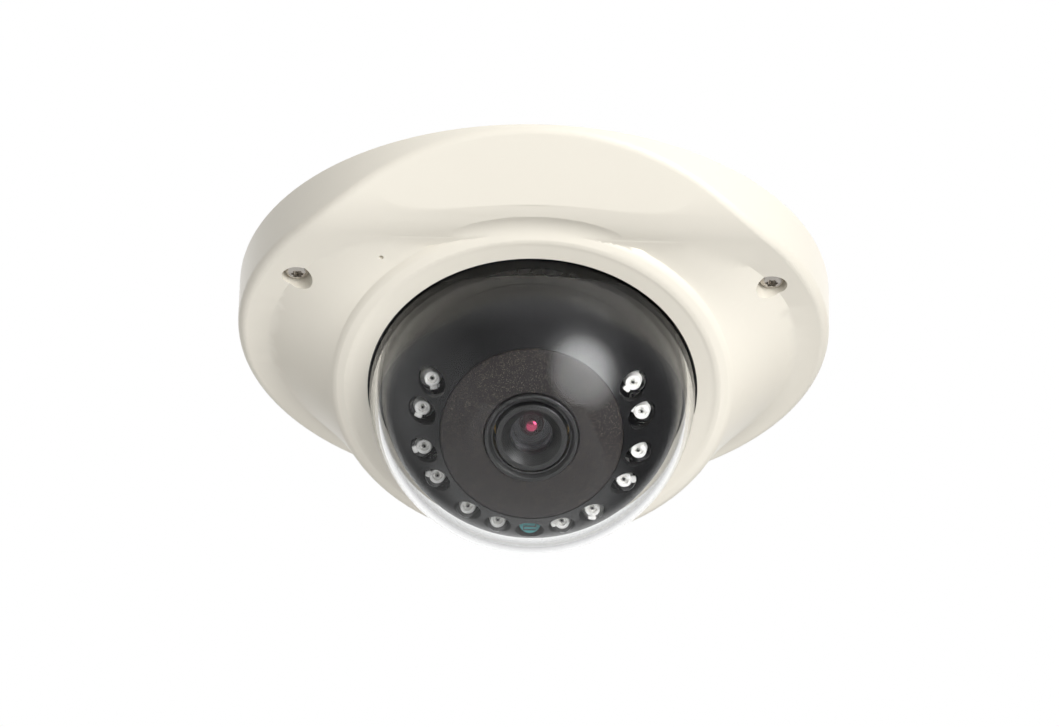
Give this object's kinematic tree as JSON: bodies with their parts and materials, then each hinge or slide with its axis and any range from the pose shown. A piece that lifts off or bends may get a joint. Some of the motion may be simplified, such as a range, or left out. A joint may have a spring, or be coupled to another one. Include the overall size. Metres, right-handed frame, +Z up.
{
  "type": "dome security camera",
  "caption": "Ceiling dome security camera: wedge-shaped cast housing, clear bubble, and a tilting camera ball with a lens and an infrared light ring.",
  "frame": {"origin": "centre of the ceiling screw circle, on the mounting face", "axes": "+Z up into the ceiling, out of the mounting face; the bubble hangs below and leans towards -Y; X is left to right"},
  "size_m": [0.125, 0.125, 0.0595],
  "materials": {
    "ivory_paint": "satin",
    "cast_aluminium": "cast, satin",
    "clear_bubble": "polished clear polycarbonate",
    "black_rubber": "matt",
    "black_plastic": "fine grained",
    "ball_black": "satin moulded",
    "speckled_disc": "fine speckled satin",
    "lens_black": "anodised",
    "lens_glass": "coated",
    "led_clear": "clear epoxy",
    "photocell_face": "glazed",
    "board_green": "solder mask",
    "board_black": "solder mask",
    "chip_black": "moulded",
    "socket_white": "moulded",
    "sensor_glass": "polished",
    "filter_glass": "coated",
    "aluminium_can": "drawn",
    "stainless": "polished",
    "zinc_steel": "zinc plated",
    "brass_posts": "turned"
  },
  "bodies": {
    "housing": {"base_plate": "cast_aluminium", "housing_cover": "ivory_paint", "dome_bubble": "clear_bubble", "dome_gasket": "black_rubber", "dome_retaining_ring": "black_plastic", "retaining_ring_screws": "zinc_steel", "cover_screws": "stainless", "cover_screw_seals": "black_rubber", "cover_seal": "black_rubber", "cable_grommet": "black_rubber", "microphone": "aluminium_can", "microphone_boot": "black_rubber", "power_board": "board_green", "power_board_screws": "zinc_steel", "power_inductor": "chip_black", "network_transformer": "chip_black", "capacitors": "aluminium_can", "cable_sockets": "socket_white", "turntable_clips": "black_plastic", "turntable_clip_screws": "zinc_steel"},
    "pan": {"turntable": "black_plastic", "tilt_bracket": "zinc_steel", "bracket_rivets": "zinc_steel", "tilt_friction_washers": "black_rubber"},
    "ball": {"ball_front": "ball_black", "ball_rear": "ball_black", "front_disc": "speckled_disc", "lens_bezel": "lens_black", "led_board": "board_black", "infrared_leds": "led_clear", "photocell": "photocell_face", "led_board_screws": "zinc_steel", "lens_holder": "black_plastic", "infrared_filter": "filter_glass", "sensor_board": "board_green", "main_board": "board_green", "image_sensor": "sensor_glass", "video_processor": "chip_black", "memory_chips": "chip_black", "main_board_sockets": "socket_white", "lens_holder_screws": "zinc_steel", "front_standoffs": "brass_posts", "rear_standoffs": "brass_posts", "board_screws": "zinc_steel", "tilt_pivot_screws": "zinc_steel"},
    "lens": {"lens_barrel": "lens_black", "lens_front_glass": "lens_glass", "lens_rear_glass": "lens_glass", "lens_lock_ring": "brass_posts"}
  },
  "joints": [
    {"name": "pan_turn", "type": "hinge", "parent": "housing", "child": "pan", "pos_m": [0, 0, -0.0235], "axis": [0, 0, -1], "range_deg": [-175, 175]},
    {"name": "ball_tilt", "type": "hinge", "parent": "pan", "child": "ball", "pos_m": [0, 0, -0.0235], "axis": [-1, 0, 0], "range_deg": [-35, 20]},
    {"name": "lens_focus", "type": "hinge", "parent": "ball", "child": "lens", "pos_m": [0, 0, -0.0235], "axis": [0, -0.5736, -0.8192], "range_deg": [-180, 180]}
  ]
}
